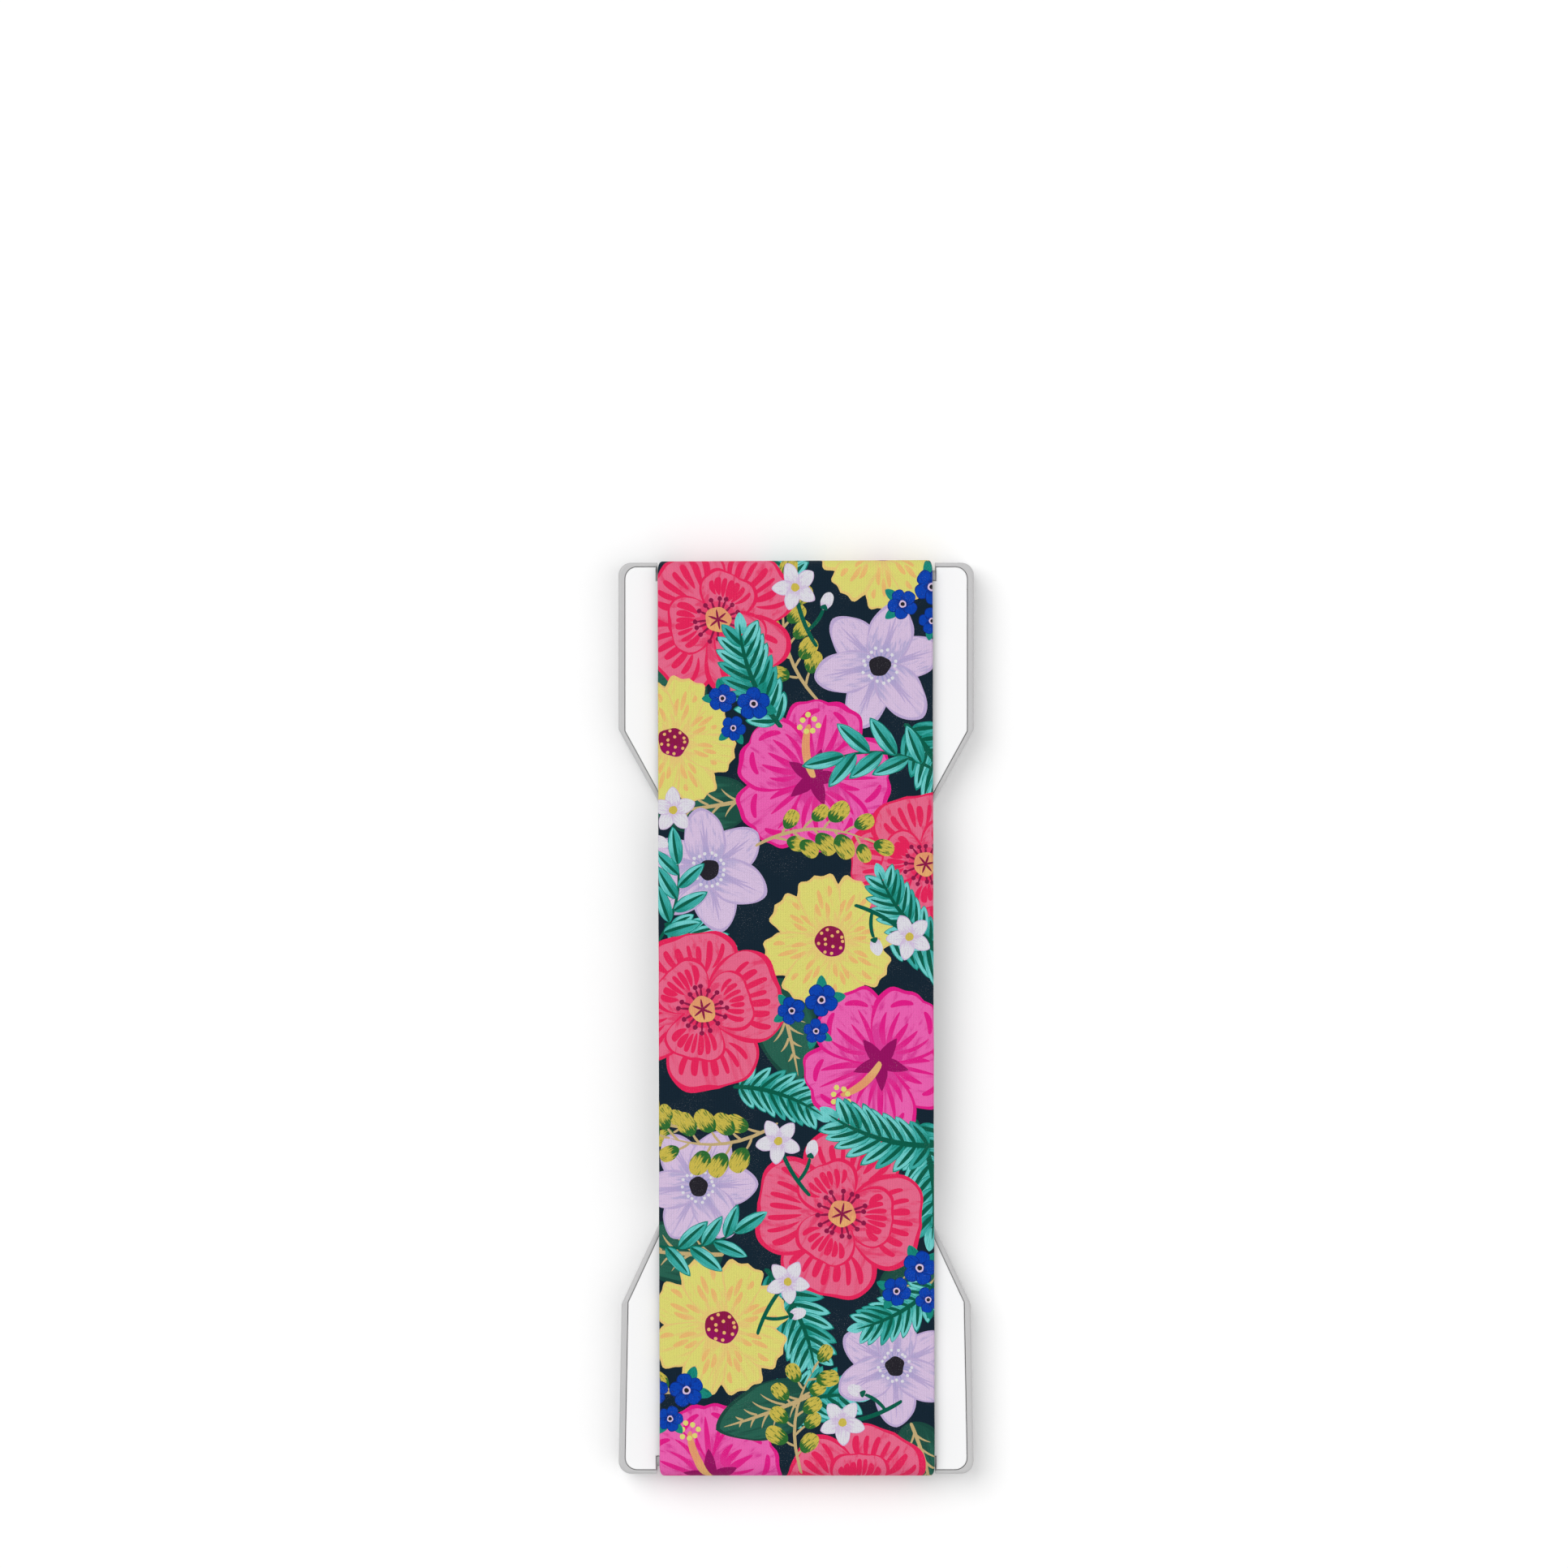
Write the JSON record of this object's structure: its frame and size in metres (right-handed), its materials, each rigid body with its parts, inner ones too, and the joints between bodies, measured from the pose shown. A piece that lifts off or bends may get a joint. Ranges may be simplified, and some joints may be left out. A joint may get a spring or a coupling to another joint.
{
  "type": "phone finger strap",
  "caption": "Flat phone finger strap: a wide printed elastic band wrapped over the ends of a slim waisted base plate that sticks to the phone's back with a foam pad.",
  "frame": {"origin": "centre of the foam pad's sticky face, which lies on the phone's back", "axes": "+X across the strap, +Y along the strap towards the phone's camera end, +Z away from the phone"},
  "size_m": [0.0392, 0.101, 0.005],
  "materials": {
    "base_grey": "satin light grey moulded plastic",
    "face_white": "smooth white plastic sheet",
    "strap_print": null,
    "keeper_steel": "stamped stainless strip",
    "pad_foam": "grey double-sided acrylic foam"
  },
  "bodies": {
    "root": {"adhesive_pad": "pad_foam", "base_plate": "base_grey", "face_sheet": "face_white", "strap": "strap_print", "upper_keeper": "keeper_steel", "lower_keeper": "keeper_steel"}
  },
  "joints": []
}
